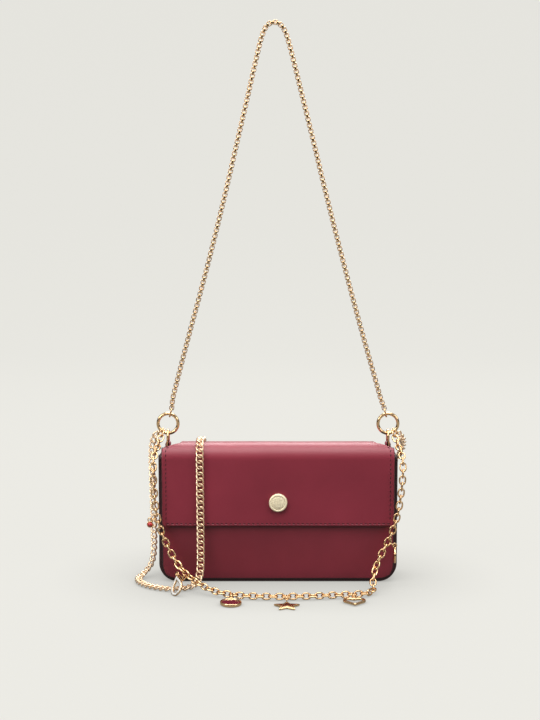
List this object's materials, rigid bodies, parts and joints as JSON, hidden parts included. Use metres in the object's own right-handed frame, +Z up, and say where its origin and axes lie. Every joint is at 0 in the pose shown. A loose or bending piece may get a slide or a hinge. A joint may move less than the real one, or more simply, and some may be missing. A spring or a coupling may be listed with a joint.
{
  "type": "chain shoulder bag",
  "caption": "Small flat leather shoulder bag with a front flap and magnetic snap, a fine chain strap on spring-gate rings, a second curb chain and a chain of charms.",
  "frame": {"origin": "middle of the bag's bottom, on the surface that it stands on", "axes": "+X to the bag's right seen from the front, +Y to its back, +Z up"},
  "size_m": [0.2367, 0.1364, 0.4763],
  "materials": {
    "leather": "smooth wine-red leather",
    "lining": "woven lining",
    "board": "plain board",
    "steel": "plated",
    "gold_hardware": "polished",
    "gold_chain": "polished",
    "gold_charm": "polished",
    "wine_enamel": "glossy enamel",
    "white_enamel": "glossy enamel",
    "red_enamel": "glossy enamel"
  },
  "bodies": {
    "bag": {"back_panel": "leather", "front_panel": "leather", "gusset": "leather", "lining": "lining", "base_board": "board", "snap_socket": "gold_hardware", "snap_magnet": "steel", "snap_washer": "steel", "left_tab": "leather", "right_tab": "leather", "crossbody_side_run": "gold_chain", "crossbody_floor_loop": "gold_chain", "crossbody_front_run": "gold_chain", "crossbody_back_run": "gold_chain", "charm_chain_left": "gold_chain", "charm_chain_floor": "gold_chain", "charm_chain_right": "gold_chain", "charm_jump_rings": "gold_chain"},
    "flap": {"flap_leather": "leather", "flap_lining": "lining", "snap_cap": "gold_hardware", "snap_plug": "gold_hardware"},
    "strap": {"left_gate_ring": "gold_hardware", "right_gate_ring": "gold_hardware", "left_gate_pin": "gold_hardware", "right_gate_pin": "gold_hardware", "shoulder_chain_left": "gold_chain", "shoulder_chain_crown": "gold_chain", "shoulder_chain_right": "gold_chain", "shoulder_chain_end_links": "gold_chain", "crossbody_end_links": "gold_chain", "charm_chain_end_links": "gold_chain"},
    "left_gate": {"left_ring_gate": "gold_hardware"},
    "right_gate": {"right_ring_gate": "gold_hardware"},
    "left_d_ring": {"left_d_ring": "gold_hardware"},
    "right_d_ring": {"right_d_ring": "gold_hardware"},
    "disc": {"disc_charm": "gold_charm", "disc_enamel": "wine_enamel"},
    "star": {"star_charm": "gold_charm"},
    "heart": {"heart_charm": "gold_charm"},
    "drop": {"drop_charm": "gold_charm", "drop_enamel": "white_enamel"},
    "coin": {"coin_charm": "gold_charm"},
    "bead": {"bead_charm": "gold_charm", "bead_enamel": "red_enamel"}
  },
  "joints": [
    {"name": "flap_hinge", "type": "hinge", "parent": "bag", "child": "flap", "pos_m": [0, 0.0211, 0.112], "axis": [-1, 0, 0], "range_deg": [0, 105], "deforming": ["shoulder_chain_left", "shoulder_chain_crown", "shoulder_chain_right", "shoulder_chain_end_links", "crossbody_front_run", "crossbody_back_run", "charm_chain_left", "charm_chain_right"]},
    {"name": "strap_swing", "type": "hinge", "parent": "bag", "child": "strap", "pos_m": [0, 0, 0.1264], "axis": [1, 0, 0], "range_deg": [-85, 85], "deforming": ["charm_chain_left", "charm_chain_right", "crossbody_side_run", "crossbody_back_run"]},
    {"name": "left_gate_open", "type": "hinge", "parent": "strap", "child": "left_gate", "pos_m": [-0.08755, 0, 0.1393], "axis": [0, 1, 0], "range_deg": [0, 25], "stiffness_Nm_per_rad": 0.002, "springref_deg": -11.46},
    {"name": "right_gate_open", "type": "hinge", "parent": "strap", "child": "right_gate", "pos_m": [0.08755, 0, 0.1393], "axis": [0, -1, 0], "range_deg": [0, 25], "stiffness_Nm_per_rad": 0.002, "springref_deg": -11.46},
    {"name": "left_d_ring_tilt", "type": "hinge", "parent": "bag", "child": "left_d_ring", "pos_m": [-0.095, 0, 0.117], "axis": [0, 1, 0], "range_deg": [-4, 4]},
    {"name": "right_d_ring_tilt", "type": "hinge", "parent": "bag", "child": "right_d_ring", "pos_m": [0.095, 0, 0.117], "axis": [0, 1, 0], "range_deg": [-4, 4]},
    {"name": "disc_swivel", "type": "hinge", "parent": "bag", "child": "disc", "pos_m": [-0.03893, -0.07755, 0.00337], "axis": [0, 0, 1], "range_deg": [-25, 25]},
    {"name": "star_swivel", "type": "hinge", "parent": "bag", "child": "star", "pos_m": [0.00681, -0.08203, 0.0032], "axis": [0, 0, 1], "range_deg": [-25, 25]},
    {"name": "heart_swivel", "type": "hinge", "parent": "bag", "child": "heart", "pos_m": [0.06249, -0.07565, 0.0032], "axis": [0, 0, 1], "range_deg": [-25, 25]},
    {"name": "drop_swing", "type": "hinge", "parent": "bag", "child": "drop", "pos_m": [-0.08489, -0.05169, 0.01584], "axis": [-0.7511, -0.4831, 0.45], "range_deg": [0, 35]},
    {"name": "coin_swing", "type": "hinge", "parent": "bag", "child": "coin", "pos_m": [0.09916, -0.03315, 0.03562], "axis": [0, -0.9951, 0.099], "range_deg": [-30, 30]},
    {"name": "bead_swing", "type": "hinge", "parent": "bag", "child": "bead", "pos_m": [-0.10887, -0.03219, 0.05762], "axis": [0, -0.9998, 0.02], "range_deg": [-30, 30]}
  ]
}
